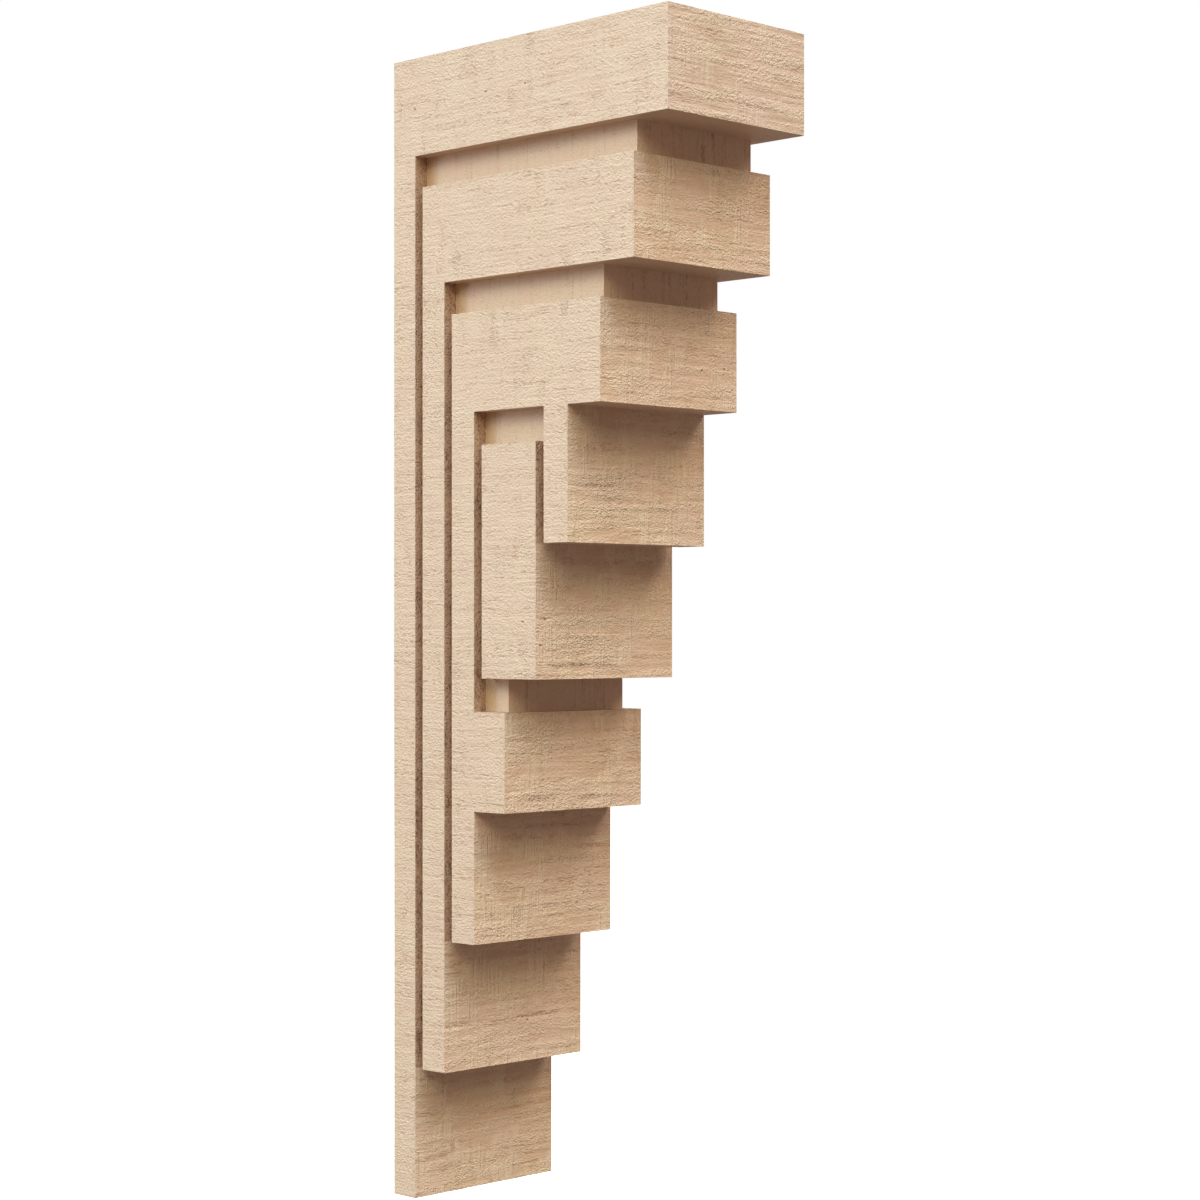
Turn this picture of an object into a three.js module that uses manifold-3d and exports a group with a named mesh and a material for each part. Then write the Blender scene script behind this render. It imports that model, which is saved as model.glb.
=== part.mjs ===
// A stepped wall bracket (corbel), one solid casting in rigid urethane with a rough-sawn timber finish.
// Millimetres, +Z up. The back lies in the plane Y = 0, the steps face -Y, and X is the width.
// The origin is the centre of the back face, where the casting is glued and screwed to the wall.

import * as THREE from "three";
import { mergeVertices } from "three/addons/utils/BufferGeometryUtils.js";
import Module from "manifold-3d";

const wasm = await Module();
wasm.setup();

// Driving dimensions
const width = 152.4; // across the front, from side to side
const plateThickness = 26.1; // the plate against the wall
const stepRise = 104.5; // from one underside up to the next
const stepRun = 34.84; // how far each front stands out past the one below it
const grooveWidth = 8.71; // the upright grooves between two bands on a side
const slotHeight = 26.1; // the level slots above a band
const recessDepth = 12.7; // how deep the grooves and slots are cut in from a side
const slotSetback = 8.7; // how far a slot's front lies behind the front of the band below it

// The fronts, numbered from the foot up. Each band starts and ends on one of them.
const step = {
  plate: 0,
  outerLeg: 1,
  innerLeg: 2,
  foot: 3,
  centre: 4,
  hook: 5,
  innerArm: 6,
  outerArm: 7,
  cap: 8,
};

// Places in the side profile, as distances out from the wall and heights above the lowest edge.
const front = (k) => plateThickness + k * stepRun;
const legBack = (k) => front(k - 1) + grooveWidth;
const underside = (k) => k * stepRise;
const bandTop = (k) => underside(k + 1) - slotHeight;
const height = bandTop(step.cap);

// The plate against the wall and the cap that it carries, an upside-down L.
function capBand() {
  return [
    [0, underside(step.plate)],
    [front(step.plate), underside(step.plate)],
    [front(step.plate), underside(step.cap)],
    [front(step.cap), underside(step.cap)],
    [front(step.cap), height],
    [0, height],
  ];
}

// The next upside-down L, nested inside the first.
function outerBand() {
  return [
    [legBack(step.outerLeg), underside(step.outerLeg)],
    [front(step.outerLeg), underside(step.outerLeg)],
    [front(step.outerLeg), underside(step.outerArm)],
    [front(step.outerArm), underside(step.outerArm)],
    [front(step.outerArm), bandTop(step.outerArm)],
    [legBack(step.outerLeg), bandTop(step.outerArm)],
  ];
}

// The innermost band: a leg with a foot that juts forward, an arm, and a hook that turns down from the arm.
function innerBand() {
  return [
    [legBack(step.innerLeg), underside(step.innerLeg)],
    [front(step.innerLeg), underside(step.innerLeg)],
    [front(step.innerLeg), underside(step.foot)],
    [front(step.foot), underside(step.foot)],
    [front(step.foot), bandTop(step.foot)],
    [front(step.innerLeg), bandTop(step.foot)],
    [front(step.innerLeg), underside(step.innerArm)],
    [legBack(step.hook), underside(step.innerArm)],
    [legBack(step.hook), underside(step.hook)],
    [front(step.hook), underside(step.hook)],
    [front(step.hook), underside(step.innerArm)],
    [front(step.innerArm), underside(step.innerArm)],
    [front(step.innerArm), bandTop(step.innerArm)],
    [legBack(step.innerLeg), bandTop(step.innerArm)],
  ];
}

// The upright block that stands in the middle of the innermost band.
function centreBlock() {
  const back = legBack(step.foot);
  return [
    [back, underside(step.centre)],
    [front(step.centre), underside(step.centre)],
    [front(step.centre), bandTop(step.hook)],
    [back, bandTop(step.hook)],
  ];
}

// The narrower body behind the bands, which shows as the floor of the grooves and slots.
function body() {
  const outline = [[0, underside(step.plate)]];
  for (let k = step.plate; k <= step.cap; k++) {
    const out = front(k) - slotSetback;
    const upper = k === step.cap ? height : underside(k + 1);
    outline.push([out, underside(k)], [out, upper]);
  }
  outline.push([0, height]);
  return outline;
}

// A profile run out to a width, centred on the plane that halves the casting, as a solid for joining.
function runOut(outline, across) {
  const shape = new THREE.Shape(outline.map(([out, up]) => new THREE.Vector2(out, up)));
  const geometry = new THREE.ExtrudeGeometry(shape, { depth: across, bevelEnabled: false });
  geometry.translate(0, 0, -across / 2);
  geometry.deleteAttribute("normal");
  geometry.deleteAttribute("uv");
  const merged = mergeVertices(geometry);
  return new wasm.Manifold(
    new wasm.Mesh({
      numProp: 3,
      vertProperties: merged.getAttribute("position").array,
      triVerts: new Uint32Array(merged.getIndex().array),
    }),
  );
}

function toGeometry(solid) {
  const mesh = solid.getMesh();
  const geometry = new THREE.BufferGeometry();
  geometry.setAttribute("position", new THREE.BufferAttribute(mesh.vertProperties, 3));
  geometry.setIndex(new THREE.BufferAttribute(mesh.triVerts, 1));
  const faceted = geometry.toNonIndexed();
  faceted.computeVertexNormals();
  return faceted;
}

function corbel() {
  const bands = [capBand(), outerBand(), innerBand(), centreBlock()];
  let casting = runOut(body(), width - 2 * recessDepth);
  for (const band of bands) {
    casting = casting.add(runOut(band, width));
  }
  const urethane = new THREE.MeshStandardMaterial({ color: 0xd9bf9d, roughness: 0.85, metalness: 0 });
  const mesh = new THREE.Mesh(toGeometry(casting), urethane);
  mesh.name = "corbel";
  mesh.position.y = -height / 2;
  return mesh;
}

// The profile is drawn out and up; turned here, out runs along -Y and up along +Z.
const part = new THREE.Group();
part.add(corbel());
part.quaternion.setFromRotationMatrix(
  new THREE.Matrix4().makeBasis(
    new THREE.Vector3(0, -1, 0),
    new THREE.Vector3(0, 0, 1),
    new THREE.Vector3(-1, 0, 0),
  ),
);

export default part;
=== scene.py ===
import math
import bmesh
import bpy
import numpy as np
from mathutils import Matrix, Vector


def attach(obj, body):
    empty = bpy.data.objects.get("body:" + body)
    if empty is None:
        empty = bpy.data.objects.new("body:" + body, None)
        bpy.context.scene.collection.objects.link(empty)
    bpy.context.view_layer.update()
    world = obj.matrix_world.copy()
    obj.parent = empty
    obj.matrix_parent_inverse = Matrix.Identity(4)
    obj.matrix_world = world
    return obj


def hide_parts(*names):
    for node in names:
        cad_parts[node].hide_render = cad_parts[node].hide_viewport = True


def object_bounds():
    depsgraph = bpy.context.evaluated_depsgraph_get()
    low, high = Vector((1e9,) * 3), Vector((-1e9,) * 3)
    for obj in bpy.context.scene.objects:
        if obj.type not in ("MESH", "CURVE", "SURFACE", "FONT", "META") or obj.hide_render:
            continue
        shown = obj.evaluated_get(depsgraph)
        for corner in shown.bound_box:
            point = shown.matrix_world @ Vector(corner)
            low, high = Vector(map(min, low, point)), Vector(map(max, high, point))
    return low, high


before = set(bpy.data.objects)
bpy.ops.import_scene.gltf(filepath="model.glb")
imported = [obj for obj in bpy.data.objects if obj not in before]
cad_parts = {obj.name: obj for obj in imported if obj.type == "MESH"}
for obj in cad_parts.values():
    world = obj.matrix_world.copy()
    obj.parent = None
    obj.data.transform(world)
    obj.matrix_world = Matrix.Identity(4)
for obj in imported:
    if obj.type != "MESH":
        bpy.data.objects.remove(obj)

cadLow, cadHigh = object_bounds()
millimetre = 0.001

# The casting, one solid in rigid urethane. Sizes in millimetres, angles in degrees.
casting = {
    "name": "corbel_casting",
    "node": "corbel",
    "body": "root",
    "slot": "urethane",
    "cellAlong": 4.5,      # mesh cell along a level edge
    "cellAcross": 1.6,     # and up the faces, across the grain
    "edgeRound": 0.12,     # the small flat that a mould leaves on an edge
    "edgeStill": 0.6,      # the relief leaves this much beside an edge alone
    "edgeFade": 4.0,       # and has its whole height from here on, so the edges stay straight
    "flatAngle": 1,        # triangles that meet at less than this are one flat face
    "sharpAngle": 45,      # faces that meet at more than this make an edge
    "smoothAngle": 30,     # cells that meet at less than this are shaded as one surface
}

# The places on the casting that are finished alike, each with the world axis that its grain runs along:
# 0 across the width, 1 out from the wall, 2 up.
zones = {
    "capFront": 0,         # the top block's front
    "sawnFront": 0,        # the other stepped fronts
    "sawnSide": 1,         # the sides of the bands
    "slot": 2,             # the narrower body's sides, which show in the slots and grooves
    "neck": 2,             # the body's front, which shows between the blocks
    "groove": 2,           # the walls of the grooves and slots
    "under": 0,            # all that looks down
    "ledge": 0,            # all that looks up: the ledges in the slots, and the top
    "back": 2,             # flat against the wall
}

# How far apart two places may be and still count as one, in millimetres.
nearness = {
    "cut": 0.001,
    "vertex": 0.01,
    "plane": 0.1,
    "face": 1.0,
}


def deselectAll():
    bpy.ops.object.select_all(action="DESELECT")


def makeActive(piece):
    deselectAll()
    piece.select_set(True)
    bpy.context.view_layer.objects.active = piece


def editMesh(piece, selectMode="EDGE"):
    makeActive(piece)
    bpy.ops.object.mode_set(mode="EDIT")
    bpy.ops.mesh.select_mode(type=selectMode)
    bpy.ops.mesh.select_all(action="DESELECT")


def leaveMesh():
    bpy.ops.object.mode_set(mode="OBJECT")


def applyModifier(piece, name):
    makeActive(piece)
    bpy.ops.object.modifier_apply(modifier=name)


# The solid as it was packed, with its loose triangles joined into whole flat faces.
def copyNode(name, node):
    piece = node.copy()
    piece.data = node.data.copy()
    piece.name = piece.data.name = name
    piece.parent = None
    for key in list(piece.keys()):
        del piece[key]
    bpy.context.scene.collection.objects.link(piece)
    editMesh(piece)
    bpy.ops.mesh.select_all(action="SELECT")
    bpy.ops.mesh.remove_doubles(threshold=nearness["vertex"] * millimetre)
    bpy.ops.mesh.dissolve_limited(angle_limit=math.radians(casting["flatAngle"]))
    leaveMesh()
    return piece


# The places along one axis where the piece has flat faces.
def planesAlong(piece, axis):
    places = sorted(vertex.co[axis] for vertex in piece.data.vertices)
    planes = [places[0]]
    for place in places:
        if place - planes[-1] > nearness["plane"] * millimetre:
            planes.append(place)
    return planes


# Cuts the solid along every plane that one of its faces lies in, which leaves only rectangles.
def cutIntoRectangles(piece):
    planes = [planesAlong(piece, axis) for axis in range(3)]
    editMesh(piece)
    for axis in range(3):
        normal = [0, 0, 0]
        normal[axis] = 1
        for place in planes[axis][1:-1]:
            point = [0, 0, 0]
            point[axis] = place
            bpy.ops.mesh.select_all(action="SELECT")
            bpy.ops.mesh.bisect(plane_co=point, plane_no=normal, threshold=nearness["cut"] * millimetre)
    leaveMesh()
    return planes


# Gives each rectangle its zone, from where it lies and which way it faces. Heights and depths are rounded
# to a tenth of a millimetre, so that those of one step are the same.
def sortIntoZones(piece, planes):
    names = list(zones)
    faces = piece.data.polygons
    near = nearness["face"] * millimetre
    bodySide, bandSide = planes[0][-2:]
    undersides = sorted({round(face.center.z, 4) for face in faces if round(face.normal.z) == -1})
    undersides.append(cadHigh.z)
    bandFronts = [face for face in faces if round(face.normal.y) == -1 and abs(face.center.x) > bodySide]
    fronts = sorted({round(-face.center.y, 4) for face in bandFronts})
    for face in faces:
        right, inward, up = (round(part) for part in face.normal)
        if up:
            zone = "ledge" if up > 0 else "under"
        elif right:
            zone = "sawnSide" if abs(face.center.x) > bandSide - near else "slot"
        elif inward > 0:
            zone = "back" if face.center.y > -near else "groove"
        else:
            step = min(range(len(fronts)), key=lambda i: abs(fronts[i] + face.center.y))
            if abs(fronts[step] + face.center.y) > near:
                zone = "neck"
            elif undersides[step] < face.center.z < undersides[step + 1]:
                zone = "capFront" if step == len(fronts) - 1 else "sawnFront"
            else:
                zone = "groove"
        face.material_index = names.index(zone)


# Divides the rectangles into cells. The edges of one slab are divided alike, so the cells meet.
def divideIntoCells(piece, planes):
    sizes = [casting["cellAlong"], casting["cellAlong"], casting["cellAcross"]]
    for axis in range(3):
        for low, high in zip(planes[axis], planes[axis][1:]):
            cuts = round((high - low) / millimetre / sizes[axis]) - 1
            if cuts < 1:
                continue
            editMesh(piece)
            mesh = bmesh.from_edit_mesh(piece.data)
            middle = (low + high) / 2
            for edge in mesh.edges:
                start, end = (vertex.co[axis] for vertex in edge.verts)
                edge.select_set(min(start, end) < middle < max(start, end))
            bmesh.update_edit_mesh(piece.data)
            bpy.ops.mesh.subdivide(number_cuts=cuts)
            leaveMesh()


# The back is flat against the wall, so its cells are joined into one face.
def joinBack(piece):
    editMesh(piece, "FACE")
    mesh = bmesh.from_edit_mesh(piece.data)
    for face in mesh.faces:
        face.select_set(face.material_index == list(zones).index("back"))
    bmesh.update_edit_mesh(piece.data)
    bpy.ops.mesh.dissolve_faces()
    leaveMesh()


# The two ends of every sharp edge.
def sharpEdges(piece):
    mesh = bmesh.new()
    mesh.from_mesh(piece.data)
    least = math.radians(casting["sharpAngle"])
    sharp = [edge for edge in mesh.edges if edge.calc_face_angle(0) > least]
    ends = np.array([[vertex.co[:] for vertex in edge.verts] for edge in sharp])
    mesh.free()
    return ends


def roundEdges(piece):
    bevel = piece.modifiers.new("edgeRound", "BEVEL")
    bevel.width = casting["edgeRound"] * millimetre
    bevel.segments = 1
    bevel.limit_method = "ANGLE"
    bevel.angle_limit = math.radians(casting["sharpAngle"])
    applyModifier(piece, bevel.name)


# One vertex group for each zone. It holds the vertices inside the zone, weaker towards the solid's edges.
def groupVertices(piece, ends):
    mesh = piece.data
    count = len(mesh.vertices)
    places = np.empty(count * 3)
    mesh.vertices.foreach_get("co", places)
    places = places.reshape(count, 3) / millimetre
    nearest = np.full(count, np.inf)
    for start, end in ends / millimetre:
        along = end - start
        share = np.clip((places - start) @ along / (along @ along), 0, 1)
        nearest = np.minimum(nearest, np.linalg.norm(places - start - share[:, None] * along, axis=1))
    weights = np.clip(nearest / casting["edgeFade"], 0, 1)
    zoneOf = np.full(count, -1)
    straight = 0.99        # the flats on the edges lean more than this
    for face in mesh.polygons:
        if max(abs(part) for part in face.normal) > straight:
            zoneOf[list(face.vertices)] = face.material_index
    for index, name in enumerate(zones):
        group = piece.vertex_groups.new(name=name)
        for vertex in np.flatnonzero((zoneOf == index) & (nearest > casting["edgeStill"])):
            group.add([int(vertex)], float(weights[vertex]), "REPLACE")


# The relief that the sawn board left in the mould, as far as the mesh can hold it. Sizes in millimetres:
# along and across the grain, then from hollow to crest.
relief = {
    "frontRings": {"zone": "sawnFront", "kind": "rings", "along": 44, "across": 8.6, "height": 0.14},
    "frontRidges": {"zone": "sawnFront", "kind": "clouds", "along": 40, "across": 7.0, "height": 0.38},
    "frontFibres": {"zone": "sawnFront", "kind": "clouds", "along": 9, "across": 4.5, "height": 0.50},
    "capRidges": {"zone": "capFront", "kind": "clouds", "along": 90, "across": 6.5, "height": 0.50},
    "capFibres": {"zone": "capFront", "kind": "clouds", "along": 9, "across": 4.0, "height": 0.40},
    "sideRidges": {"zone": "sawnSide", "kind": "clouds", "along": 50, "across": 7.5, "height": 0.26},
    "sideFibres": {"zone": "sawnSide", "kind": "clouds", "along": 9, "across": 5.0, "height": 0.34},
    "slotStreaks": {"zone": "slot", "kind": "clouds", "along": 40, "across": 9.0, "height": 0.2},
    "neckStreaks": {"zone": "neck", "kind": "clouds", "along": 30, "across": 6.0, "height": 0.4},
    "grooveStreaks": {"zone": "groove", "kind": "clouds", "along": 10, "across": 5.0, "height": 0.4},
    "underGrain": {"zone": "under", "kind": "clouds", "along": 60, "across": 9.0, "height": 0.3},
    "ledgeGrain": {"zone": "ledge", "kind": "clouds", "along": 60, "across": 9.0, "height": 0.3},
}
reliefLevel = 0.6                 # the pattern's value that stays in the face: most of it lies lower
reliefCentre = (0.02, 0, 0)       # metres, beside the casting's own centre

# The casting's steps and the board that the rings come from, in millimetres.
stair = {
    "rise": 104.5,                # from one front to the next
    "run": 34.84,
    "plate": 26.1,                # the lowest front stands this far out from the wall
    "slot": 26.1,                 # the slots are this high, under the blocks that jut out
    "body": 63.5,                 # half the width of the narrower body behind the bands
    "heart": (42, -165.5, -44.2), # a point on the line of the trunk's heart
    "trunk": 4000,                # how far the rings run before they change
}
ringSpacing = 2 * math.pi / 20    # of the wood pattern, in its own units


# The trunk's heart lies low on the right of every front, so its rings arch there. It runs up the stair.
def placeRings(field, pattern):
    slope = math.atan2(stair["rise"], -stair["run"])
    field.location = [part * millimetre for part in stair["heart"]]
    field.rotation_euler.x = slope
    across = pattern["across"] * abs(math.cos(slope))
    field.scale = [size * millimetre / ringSpacing for size in (pattern["along"], stair["trunk"], across)]


# Moves the faces of a zone in or out by a texture that lies in an empty's own size and place.
def displace(piece, zone, texture, field, middle, strength):
    lift = piece.modifiers.new(texture.name, "DISPLACE")
    lift.texture = texture
    lift.texture_coords = "OBJECT"
    lift.texture_coords_object = field
    lift.mid_level = middle
    lift.strength = strength * millimetre
    lift.vertex_group = zone
    bpy.context.view_layer.update()
    applyModifier(piece, lift.name)
    bpy.data.objects.remove(field)


def raiseRelief(piece, name, pattern):
    rings = pattern["kind"] == "rings"
    texture = bpy.data.textures.new(name, "WOOD" if rings else "CLOUDS")
    texture.noise_basis = "IMPROVED_PERLIN"
    texture.noise_scale = 1.0
    bpy.ops.object.empty_add(location=reliefCentre)
    field = bpy.context.object
    if rings:
        texture.wood_type = "RINGNOISE"
        texture.turbulence = 3.0
        placeRings(field, pattern)
    else:
        texture.noise_depth = 1
        size = [pattern["across"] * millimetre] * 3
        size[zones[pattern["zone"]]] = pattern["along"] * millimetre
        field.scale = size
    displace(piece, pattern["zone"], texture, field, reliefLevel, pattern["height"])


# The kinds of single mark that the board had, and a strip of painted shadow. Along and across are how far
# one reaches from its centre, in millimetres. "pressed" goes into the mesh, and "depth" into the bump, for
# what is finer than the mesh. Its share of the finish's tear colour is partly the torn foam's own brown and
# partly painted shade in the hollow, and the more "firm" it is, the sharper it ends. A ragged one shows
# only in part, where the ragged grain does. The strip beside a band is painted shadow that the band casts
# on the slot, and broken fibres are a patch where the grain is rougher.
markKinds = {
    "pit": {"along": 1.6, "across": 1.3, "depth": 0.9, "stainAndShade": 0.9, "firm": 1},
    "torn": {"along": 6, "across": 14, "pressed": 0.3, "depth": 0.45, "stainAndShade": 0.1, "firm": 2.5,
             "ragged": True},
    "crack": {"along": 30, "across": 2.6, "pressed": 0.3, "depth": 0.5, "stainAndShade": 0.35, "firm": 2,
              "ragged": True},
    # The strip of painted shadow that a band casts on the slot beside it.
    "paintedBandShadow": {"along": 60, "across": 13.3, "depth": 0.0, "stainAndShade": 0.4, "firm": 8},
    "brokenFibres": {"along": 48, "across": 32, "rougher": 1.1},
}
markThrough = 20                  # millimetres that a mark reaches through its face, either way
raggedGrain = {"along": 3.4, "across": 1.5, "low": 0.50, "high": 0.57}

frontMarks = [
    {"kind": "crack", "centre": (-63, -61, -316.3)},
    {"kind": "crack", "centre": (27, -61, -316.3)},
    {"kind": "pit", "centre": (15, -61, -319.9)},
    {"kind": "crack", "centre": (-46, -165, -29.2)},
    {"kind": "crack", "centre": (-10, -165, -29.2)},
    {"kind": "pit", "centre": (-65.8, -165, 6.8)},
    {"kind": "pit", "centre": (-71, -165, -13.2)},
    {"kind": "pit", "centre": (35.8, -235, 200)},
    {"kind": "pit", "centre": (61.8, -235, 202.8)},
    {"kind": "crack", "centre": (-46, -200, 108.8)},
    {"kind": "crack", "centre": (-38, -130, -134.8)},
    {"kind": "crack", "centre": (22, -130, -134.8)},
    {"kind": "torn", "centre": (-30, -96, -228)},
    {"kind": "brokenFibres", "centre": (-36, -200, 103)},
    {"kind": "brokenFibres", "centre": (-30, -165, -12)},
    {"kind": "brokenFibres", "centre": (-46, -131, -70)},
]
sideMarks = [
    {"kind": "pit", "centre": (-76, -25.4, 416.2)},
    {"kind": "pit", "centre": (-76, -109, 418.6)},
    {"kind": "pit", "centre": (-76, -153.6, 418.8)},
    {"kind": "torn", "centre": (-76, -138, 407)},
    {"kind": "torn", "centre": (-76, -159, 450)},
    {"kind": "torn", "centre": (-76, -75, 288)},
    {"kind": "torn", "centre": (-76, -117, 250)},
    {"kind": "torn", "centre": (-76, -117, 225)},
    {"kind": "torn", "centre": (-76, -196, 268)},
    {"kind": "torn", "centre": (-76, -196, 246)},
    {"kind": "torn", "centre": (-76, -240, 288)},
    {"kind": "pit", "centre": (-76, -151, 5)},
]

# Each slot has a strip of painted shadow where it ends at a band, cast by the band: how many steps up its
# top is, then which band.
slotEnds = {8: 0, 7: 1, 6: 2, 4: 2}


# The strips of painted shadow on the slots beside the bands, one on each side of the body.
def paintedShadowStrips():
    strips = []
    for steps, band in slotEnds.items():
        out = stair["plate"] + band * stair["run"]
        height = cadLow.z / millimetre + steps * stair["rise"] - stair["slot"] / 2
        for side in (-stair["body"], stair["body"]):
            strips.append({"kind": "paintedBandShadow", "centre": (side, -out, height)})
    return strips


zoneMarks = {"sawnFront": frontMarks, "sawnSide": sideMarks, "slot": paintedShadowStrips()}


# How far a mark reaches along each axis.
def markReach(kind, grain):
    through = 0 if grain == 2 else 1 - grain
    reach = [kind["across"] * millimetre] * 3
    reach[grain] = kind["along"] * millimetre
    reach[through] = markThrough * millimetre
    return reach


def pressMarks(piece):
    for zone, marks in zoneMarks.items():
        for mark in marks:
            kind = markKinds[mark["kind"]]
            if "pressed" not in kind:
                continue
            texture = bpy.data.textures.new(zone + "Mark", "BLEND")
            texture.progression = "SPHERICAL"
            bpy.ops.object.empty_add(location=[part * millimetre for part in mark["centre"]])
            field = bpy.context.object
            field.scale = markReach(kind, zones[zone])
            displace(piece, zone, texture, field, 0.0, -kind["pressed"])


# The mould's flat face stops the highest crests, so none stands out of the casting's own size.
def flattenCrests(piece):
    for vertex in piece.data.vertices:
        for axis in range(3):
            vertex.co[axis] = min(max(vertex.co[axis], cadLow[axis]), cadHigh[axis])
    piece.data.update()


# One function for every node: its kind, its settings, and what goes into its sockets.
def addNode(tree, kind, sockets=None, **settings):
    made = tree.nodes.new("ShaderNode" + kind)
    for name, value in settings.items():
        setattr(made, name, value)
    for socket, value in (sockets or {}).items():
        if isinstance(value, bpy.types.NodeSocket):
            tree.links.new(value, made.inputs[socket])
        else:
            made.inputs[socket].default_value = value
    return made


# An sRGB hex colour as the linear values that a shader takes.
def linear(hexColour):
    parts = [int(hexColour[start:start + 2], 16) / 255 for start in (1, 3, 5)]
    return [part / 12.92 if part <= 0.04045 else ((part + 0.055) / 1.055) ** 2.4 for part in parts] + [1.0]


# Rough-sawn urethane: rigid polyurethane foam cast in a mould taken from a sawn board, with a thin coat
# of timber-coloured primer. Its skin is dense and closed, a matt dielectric with a soft sheen, and every
# fibre, saw line and tear of the board stands in it. Crests are paler than hollows: the hollows' darker
# colour is partly the grain's own tone and partly painted shade, and so is the brown of the tears and
# marks.
sawnUrethane = {
    "crest": "#DFC5A5",
    "hollow": "#CDA989",
    "tear": "#93603C",
    "tearShare": 0.35,
    "hollowBelow": 0.05,        # shares of the fine relief's height, from the hollow colour to the crest's
    "crestAbove": 0.38,
    "rosy": "#DEBEA4",          # broad uneven drifts in the sprayed primer
    "rosyShare": 0.6,
    "driftSize": 38,            # millimetres
    "driftFrom": 0.42,
    "driftTo": 0.66,
    "hollowRoughness": 0.53,
    "crestRoughness": 0.43,
    "ior": 1.5,
}

# The cap is a little greyer than the other fronts. The slots and undersides, and most of all the necks, are
# a little browner. The ledges and the top are painted much darker: painted shade, against the strong light
# on all that looks up.
capUrethane = dict(sawnUrethane, crest="#DBC4A9", hollow="#C9A88D", rosy="#DABDA8")
underUrethane = dict(sawnUrethane, crest="#DDC2A5", hollow="#CCA789", rosy="#DABA9F")
# The ledges' and top's dark colours are painted shade.
ledgePaintedShadeUrethane = dict(sawnUrethane, crest="#A98B70", hollow="#8D7056", rosy="#A38469", tear="#6B4A38")
# The slot's tear colour is the painted shadow that the bands cast on the slots, and the colour of its few
# chips.
slotUrethane = dict(sawnUrethane, crest="#DCC19F", hollow="#C59E7A", rosy="#DDBA9A", tear="#D4A86C",
                    tearShare=0.3)
neckUrethane = dict(slotUrethane, crest="#DEC1A3", hollow="#C09576", tear="#835640", tearShare=0.25)
sideUrethane = dict(sawnUrethane, tearShare=0.15)

# The narrow grooves are much darker: painted shade for the little light that gets into them, with their
# crests and hollows differing in blotches.
groovePaintedShadeUrethane = dict(sawnUrethane, crest="#C09D80", hollow="#87654F", tear="#6B4A38", rosyShare=0.0,
                      hollowBelow=0.15, crestAbove=0.42, tearShare=0.3)
zoneFinish = {
    "capFront": capUrethane,
    "sawnSide": sideUrethane,
    "slot": slotUrethane,
    "neck": neckUrethane,
    "groove": groovePaintedShadeUrethane,
    "under": underUrethane,
    "ledge": ledgePaintedShadeUrethane,
}

# The fine relief, in millimetres along and across the grain and from hollow to crest. Each layer is a noise
# of which the part between low and high is kept. Real fibres are finer than 1 mm and are drawn coarser. The
# first four have no height: they are masks, for where the grain is rough and where tears, chips and saw
# lines lie.
grainLayers = {
    "bands": {"along": 70, "across": 8, "low": 0.36, "high": 0.62, "height": 0.0, "mask": None},
    "lines": {"along": 60, "across": 5, "low": 0.52, "high": 0.66, "height": 0.0, "mask": None},
    "columns": {"along": 10, "across": 36, "low": 0.54, "high": 0.68, "height": 0.0, "mask": None},
    "patch": {"along": 26, "across": 34, "low": 0.48, "high": 0.58, "height": 0.0, "mask": None},
    "streak": {"along": 55, "across": 2.7, "low": 0.25, "high": 0.75, "height": 0.20, "mask": None},
    "fibre": {"along": 3.2, "across": 2.0, "low": 0.25, "high": 0.75, "height": 0.40, "mask": "bands"},
    "fuzz": {"along": 1.5, "across": 1.3, "low": 0.25, "high": 0.75, "height": 0.55, "mask": "bands"},
    "tear": {"along": 5.0, "across": 1.7, "low": 0.50, "high": 0.60, "height": -0.40, "mask": "lines"},
    "chip": {"along": 2.3, "across": 1.6, "low": 0.50, "high": 0.62, "height": -0.50, "mask": "columns"},
    "sawLine": {"along": 2.0, "across": 45, "low": 0.30, "high": 0.70, "height": 0.25, "mask": "patch"},
}

# What each zone keeps of it. The slots and ledges were planed smoother before the mould was taken.
# The banding is how far the rough and the smooth bands of a zone differ.
zoneGrain = {
    "capFront": {"banding": 0.7, "streak": 1.1, "fibre": 0.75, "fuzz": 0.75, "tear": 0.5, "chip": 0.2,
                 "sawLine": 1.3},
    "sawnFront": {"banding": 0.6, "streak": 0.8, "fibre": 0.95, "fuzz": 0.88, "tear": 0.5, "chip": 0.3,
                  "sawLine": 2.2},
    "sawnSide": {"banding": 0.3, "streak": 0.75, "fibre": 0.6, "fuzz": 0.53, "tear": 0.45, "chip": 0.35,
                 "sawLine": 0.6},
    "slot": {"banding": 0.4, "streak": 0.8, "fibre": 0.4, "fuzz": 0.5, "tear": 0.0, "chip": 0.2,
             "sawLine": 0.0},
    "neck": {"banding": 0.5, "streak": 1.2, "fibre": 0.5, "fuzz": 0.4, "tear": 0.3, "chip": 0.1,
             "sawLine": 0.0},
    "groove": {"banding": 0.3, "streak": 0.3, "fibre": 0.9, "fuzz": 1.0, "tear": 0.5, "chip": 0.4,
               "sawLine": 0.6},
    "under": {"banding": 0.3, "streak": 0.4, "fibre": 0.2, "fuzz": 0.25, "tear": 0.0, "chip": 0.0,
              "sawLine": 0.0},
    "ledge": {"banding": 0.4, "streak": 0.8, "fibre": 0.5, "fuzz": 0.5, "tear": 0.4, "chip": 0.3,
              "sawLine": 0.5},
    "back": {"banding": 0.2, "streak": 0.2, "fibre": 0.4, "fuzz": 0.5, "tear": 0.0, "chip": 0.0,
             "sawLine": 0.0},
}


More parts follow.
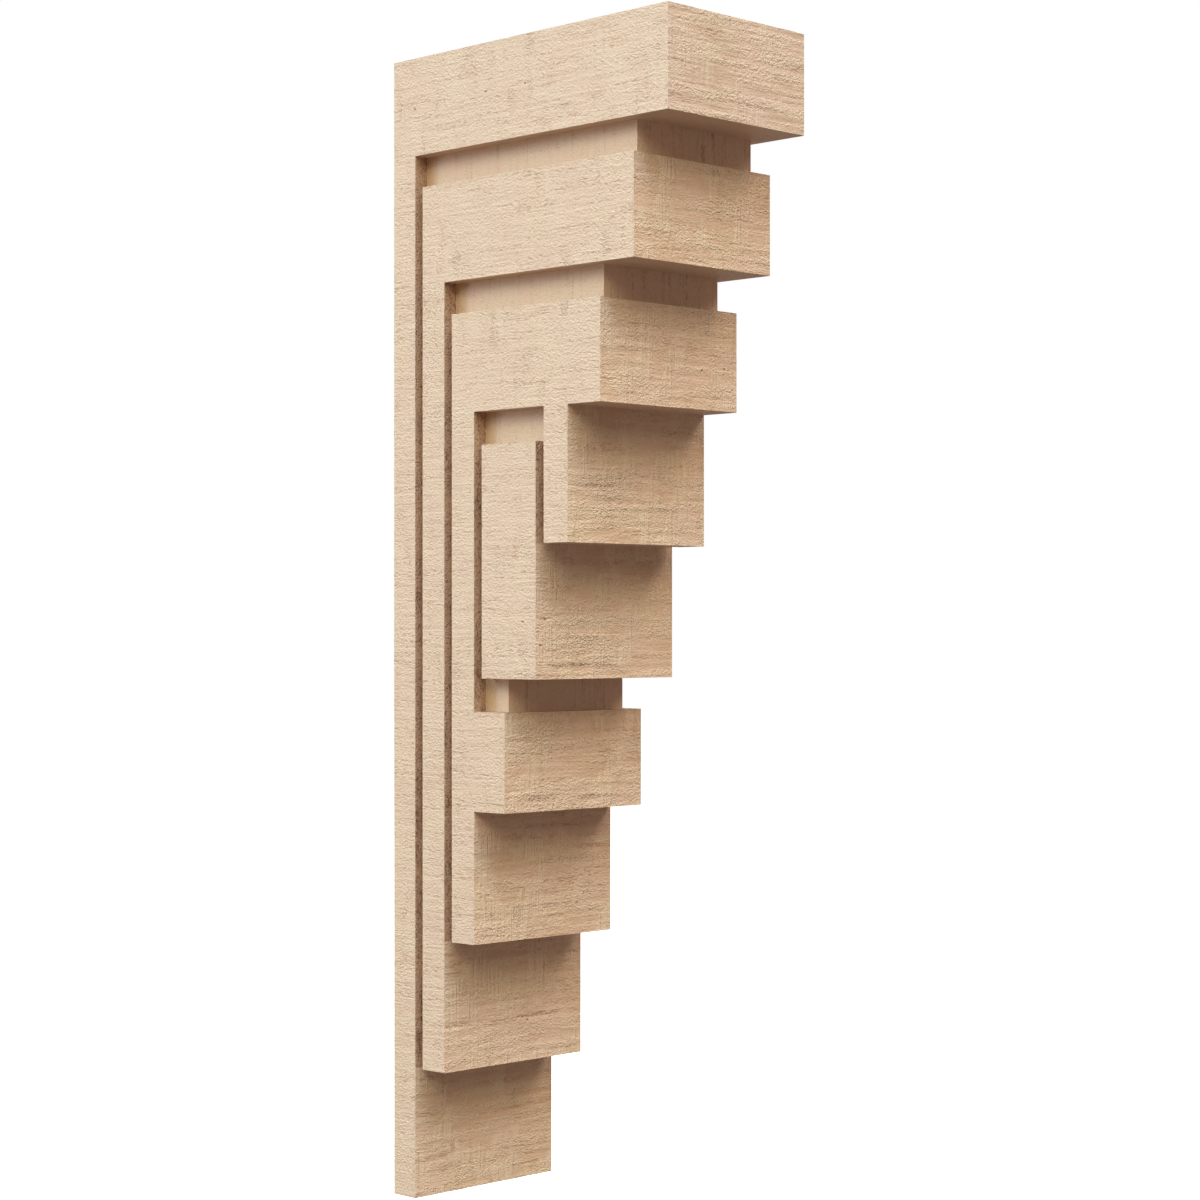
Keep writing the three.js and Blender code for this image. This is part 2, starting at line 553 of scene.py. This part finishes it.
# A noise stretched along the zone's grain, from 0 at its low value to 1 at its high one.
def addGrain(tree, place, zone, layer):
    scale = [1 / (layer["across"] * millimetre)] * 3
    scale[zones[zone]] = 1 / (layer["along"] * millimetre)
    spread = addNode(tree, "Mapping", {"Vector": place, "Scale": scale}).outputs["Vector"]
    noise = addNode(tree, "TexNoise", {"Vector": spread, "Scale": 1.0, "Detail": 1.0,
                                       "Distortion": 0.3}).outputs["Fac"]
    return addNode(tree, "MapRange", {"Value": noise, "From Min": layer["low"],
                                      "From Max": layer["high"]}).outputs[0]


# A soft blob in one place, 1 at its centre and 0 at its reach.
def addBlob(tree, place, zone, mark):
    reach = markReach(markKinds[mark["kind"]], zones[zone])
    shift = [-part * millimetre / size for part, size in zip(mark["centre"], reach)]
    spread = addNode(tree, "Mapping", {"Vector": place, "Location": shift,
                                       "Scale": [1 / size for size in reach]}).outputs["Vector"]
    return addNode(tree, "TexGradient", {"Vector": spread}, gradient_type="SPHERICAL").outputs["Fac"]


# What the single marks of a zone add up to: how deep they are, how dark, and how rough the grain is there.
def addMarks(tree, place, zone):
    sunk = 0.0
    dark = 0.0
    rough = 1.0
    marks = zoneMarks.get(zone, [])
    ragged = None
    if any("ragged" in markKinds[mark["kind"]] for mark in marks):
        ragged = addGrain(tree, place, zone, raggedGrain)
    for mark in marks:
        kind = markKinds[mark["kind"]]
        blob = addBlob(tree, place, zone, mark)
        if "rougher" in kind:
            rough = addNode(tree, "Math", {0: blob, 1: kind["rougher"], 2: rough},
                            operation="MULTIPLY_ADD").outputs[0]
            continue
        cut = addNode(tree, "Math", {0: blob, 1: kind["firm"]}, operation="MULTIPLY",
                      use_clamp=True).outputs[0]
        if "ragged" in kind:
            cut = addNode(tree, "Math", {0: cut, 1: ragged}, operation="MULTIPLY").outputs[0]
        sunk = addNode(tree, "Math", {0: cut, 1: kind["depth"], 2: sunk},
                       operation="MULTIPLY_ADD").outputs[0]
        dark = addNode(tree, "Math", {0: cut, 1: kind["stainAndShade"], 2: dark},
                       operation="MULTIPLY_ADD").outputs[0]
    return sunk, dark, rough


# The layers of the fine relief added up: their height in millimetres, and the dark of the marks and tears.
def addLayers(tree, place, zone, dark, rough):
    keep = zoneGrain[zone]
    tearShare = zoneFinish.get(zone, sawnUrethane)["tearShare"]
    uneven = keep["banding"]
    values = {}
    height = 0.0
    for name, layer in grainLayers.items():
        share = keep.get(name, 1.0)
        if not share:
            continue
        value = addGrain(tree, place, zone, layer)
        mask = values.get(layer["mask"])
        if layer["mask"] == "bands":
            mask = addNode(tree, "Math", {0: mask, 1: uneven, 2: 1 - uneven},
                           operation="MULTIPLY_ADD").outputs[0]
            mask = addNode(tree, "Math", {0: mask, 1: rough}, operation="MULTIPLY").outputs[0]
        if mask:
            value = addNode(tree, "Math", {0: value, 1: mask}, operation="MULTIPLY").outputs[0]
        values[name] = value
        if layer["height"]:
            height = addNode(tree, "Math", {0: value, 1: layer["height"] * share, 2: height},
                             operation="MULTIPLY_ADD").outputs[0]
        if layer["height"] < 0:
            dark = addNode(tree, "Math", {0: value, 1: tearShare * share, 2: dark},
                           operation="MULTIPLY_ADD").outputs[0]
    return height, dark


# The primer's colour: paler on crests, with rosy drifts, and brown in the tears and marks. That brown and
# the darker hollows are partly the grain's own tone and partly painted shade, and the strips beside the
# bands are painted shadow.
def addTone(tree, place, finish, crest, dark):
    tone = addNode(tree, "Mix", {"Factor": crest, 6: linear(finish["hollow"]), 7: linear(finish["crest"])},
                   data_type="RGBA").outputs[2]
    scale = [1 / (finish["driftSize"] * millimetre)] * 3
    spread = addNode(tree, "Mapping", {"Vector": place, "Scale": scale}).outputs["Vector"]
    noise = addNode(tree, "TexNoise", {"Vector": spread, "Scale": 1.0, "Detail": 2.0}).outputs["Fac"]
    drift = addNode(tree, "MapRange", {"Value": noise, "From Min": finish["driftFrom"],
                                       "From Max": finish["driftTo"],
                                       "To Max": finish["rosyShare"]}).outputs[0]
    tone = addNode(tree, "Mix", {"Factor": drift, 6: tone, 7: linear(finish["rosy"])},
                   data_type="RGBA").outputs[2]
    return addNode(tree, "Mix", {"Factor": dark, 6: tone, 7: linear(finish["tear"])},
                   data_type="RGBA").outputs[2]


def makeUrethane(zone):
    finish = zoneFinish.get(zone, sawnUrethane)
    material = bpy.data.materials.new("roughSawnUrethane_" + zone)
    material.use_nodes = True
    tree = material.node_tree
    shader = tree.nodes["Principled BSDF"]
    place = addNode(tree, "TexCoord").outputs["Object"]

    raised = {name: layer["height"] for name, layer in grainLayers.items() if layer["height"] > 0}
    whole = sum(height * zoneGrain[zone][name] for name, height in raised.items())
    sunk, dark, rough = addMarks(tree, place, zone)
    height, dark = addLayers(tree, place, zone, dark, rough)
    crest = addNode(tree, "MapRange", {"Value": height, "From Min": finish["hollowBelow"] * whole,
                                       "From Max": finish["crestAbove"] * whole}).outputs[0]
    height = addNode(tree, "Math", {0: height, 1: sunk}, operation="SUBTRACT").outputs[0]
    bump = addNode(tree, "Bump", {"Strength": 1.0, "Distance": millimetre, "Height": height})
    tree.links.new(bump.outputs["Normal"], shader.inputs["Normal"])
    tree.links.new(addTone(tree, place, finish, crest, dark), shader.inputs["Base Color"])
    dull = addNode(tree, "MapRange", {"Value": crest, "To Min": finish["hollowRoughness"],
                                      "To Max": finish["crestRoughness"]}).outputs[0]
    tree.links.new(dull, shader.inputs["Roughness"])
    shader.inputs["IOR"].default_value = finish["ior"]
    return material


def makeCasting():
    piece = copyNode(casting["name"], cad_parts[casting["node"]])
    piece.data.materials.clear()
    for zone in zones:
        piece.data.materials.append(makeUrethane(zone))
    print("finishes made,", len(zones))
    planes = cutIntoRectangles(piece)
    sortIntoZones(piece, planes)
    ends = sharpEdges(piece)
    divideIntoCells(piece, planes)
    joinBack(piece)
    roundEdges(piece)
    print("casting divided into cells")
    groupVertices(piece, ends)
    for name, pattern in relief.items():
        raiseRelief(piece, name, pattern)
    pressMarks(piece)
    flattenCrests(piece)
    piece.vertex_groups.clear()
    makeActive(piece)
    bpy.ops.object.shade_smooth_by_angle(angle=math.radians(casting["smoothAngle"]))
    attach(piece, casting["body"])
    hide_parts(casting["node"])
    triangles = sum(len(face.vertices) - 2 for face in piece.data.polygons)
    print("casting made,", triangles, "triangles")


# The studio. Distances in metres. The casting hangs on its wall mount, well clear of the floor.
studio = {
    "floorDrop": 0.45,
    "floorSize": 40,
    "floorColour": "#F4F3F1",
    "floorRoughness": 0.9,
    "floorGlow": 0.85,
    "surround": 0.253,
    "surroundColour": "#FFE7DD",
    "boxDistance": 12,
}

# Soft boxes: azimuth and elevation in degrees, where azimuth 0 is in front and -90 on the left, the edge
# in metres, then the light that reaches the casting, in watts per square metre.
softBoxes = {
    "leftBox": {"azimuth": -45, "elevation": 30, "size": 5, "light": 1.164, "colour": "#FFF4D1"},
    "topBox": {"azimuth": -30, "elevation": 60, "size": 5, "light": 2.704, "colour": "#DBF0FF"},
    "rightBox": {"azimuth": 45, "elevation": 45, "size": 5, "light": 1.414, "colour": "#FFEFE2"},
    "highSideBox": {"azimuth": -75, "elevation": 45, "size": 5, "light": 0.778, "colour": "#D1EDFF"},
    "sideBox": {"azimuth": -120, "elevation": 30, "size": 8, "light": 1.802, "colour": "#D3E9FF"},
    "grazeBox": {"azimuth": -142, "elevation": 0, "size": 2.5, "light": 0.337, "colour": "#FFF0ED"},
    "farBox": {"azimuth": 105, "elevation": 30, "size": 5, "light": 1.5, "colour": "#FFFAF0"},
}


def direction(azimuth, elevation):
    turn = math.radians(azimuth)
    lift = math.radians(elevation)
    return Vector((math.sin(turn) * math.cos(lift), -math.cos(turn) * math.cos(lift), math.sin(lift)))


# White emulsion, rolled on, which is matt and even. The floor is only seen: like a far studio floor it
# sends next to no light back up to the casting.
def makeFloor():
    bpy.ops.mesh.primitive_plane_add(size=studio["floorSize"],
                                     location=(0, 0, cadLow.z - studio["floorDrop"]))
    floor = bpy.context.object
    floor.name = "floor"
    makeActive(floor)
    bpy.ops.object.transform_apply(location=True)
    floor.visible_diffuse = False
    floor.visible_glossy = False
    floor.visible_shadow = False
    material = bpy.data.materials.new("paleStudioFloor")
    material.use_nodes = True
    shader = material.node_tree.nodes["Principled BSDF"]
    shader.inputs["Base Color"].default_value = linear(studio["floorColour"])
    shader.inputs["Roughness"].default_value = studio["floorRoughness"]
    shader.inputs["Emission Color"].default_value = (1, 1, 1, 1)
    shader.inputs["Emission Strength"].default_value = studio["floorGlow"]
    floor.data.materials.append(material)
    print("floor made")


def makeLights(centre):
    for name, box in softBoxes.items():
        light = bpy.data.lights.new(name, "AREA")
        light.shape = "SQUARE"
        light.size = box["size"]
        light.energy = box["light"] * math.pi * studio["boxDistance"] ** 2
        light.color = linear(box["colour"])[:3]
        lamp = bpy.data.objects.new(name, light)
        bpy.context.scene.collection.objects.link(lamp)
        towards = direction(box["azimuth"], box["elevation"])
        lamp.location = centre + towards * studio["boxDistance"]
        lamp.rotation_euler = towards.to_track_quat("Z", "Y").to_euler()
    print("soft boxes made,", len(softBoxes))


# The surround lights the casting dimly and is seen as plain white.
def makeSurround():
    world = bpy.data.worlds.new("paleSurround")
    bpy.context.scene.world = world
    world.use_nodes = True
    tree = world.node_tree
    dim = tree.nodes["Background"]
    dim.inputs["Color"].default_value = linear(studio["surroundColour"])
    dim.inputs["Strength"].default_value = studio["surround"]
    bright = addNode(tree, "Background", {"Color": (1, 1, 1, 1), "Strength": 1.0})
    seen = addNode(tree, "LightPath").outputs["Is Camera Ray"]
    both = addNode(tree, "MixShader", {"Fac": seen, 1: dim.outputs[0], 2: bright.outputs[0]})
    tree.links.new(both.outputs[0], tree.nodes["World Output"].inputs["Surface"])
    print("surround made")


# The photograph was taken level, from the front left, with a long lens. Angles in degrees, the distance
# and the height above the casting's centre in metres, and the lens in millimetres.
view = {
    "azimuth": -45.04,
    "distance": 2.1007,
    "turn": -45.215,
    "height": 0.0007,
    "lens": 79.88,
    "shiftX": -0.0017,
    "shiftY": 0.0230,
}


def makeCamera(centre):
    data = bpy.data.cameras.new("camera")
    camera = bpy.data.objects.new("camera", data)
    bpy.context.scene.collection.objects.link(camera)
    camera.location = centre + direction(view["azimuth"], 0) * view["distance"]
    camera.location.z = centre.z + view["height"]
    camera.rotation_euler = (math.radians(90), 0, math.radians(view["turn"]))
    data.lens = view["lens"]
    data.shift_x = view["shiftX"]
    data.shift_y = view["shiftY"]
    bpy.context.scene.camera = camera
    print("camera made")


centre = (cadLow + cadHigh) / 2
makeCasting()
makeFloor()
makeLights(centre)
makeSurround()
makeCamera(centre)
bpy.context.scene.view_settings.view_transform = "Standard"
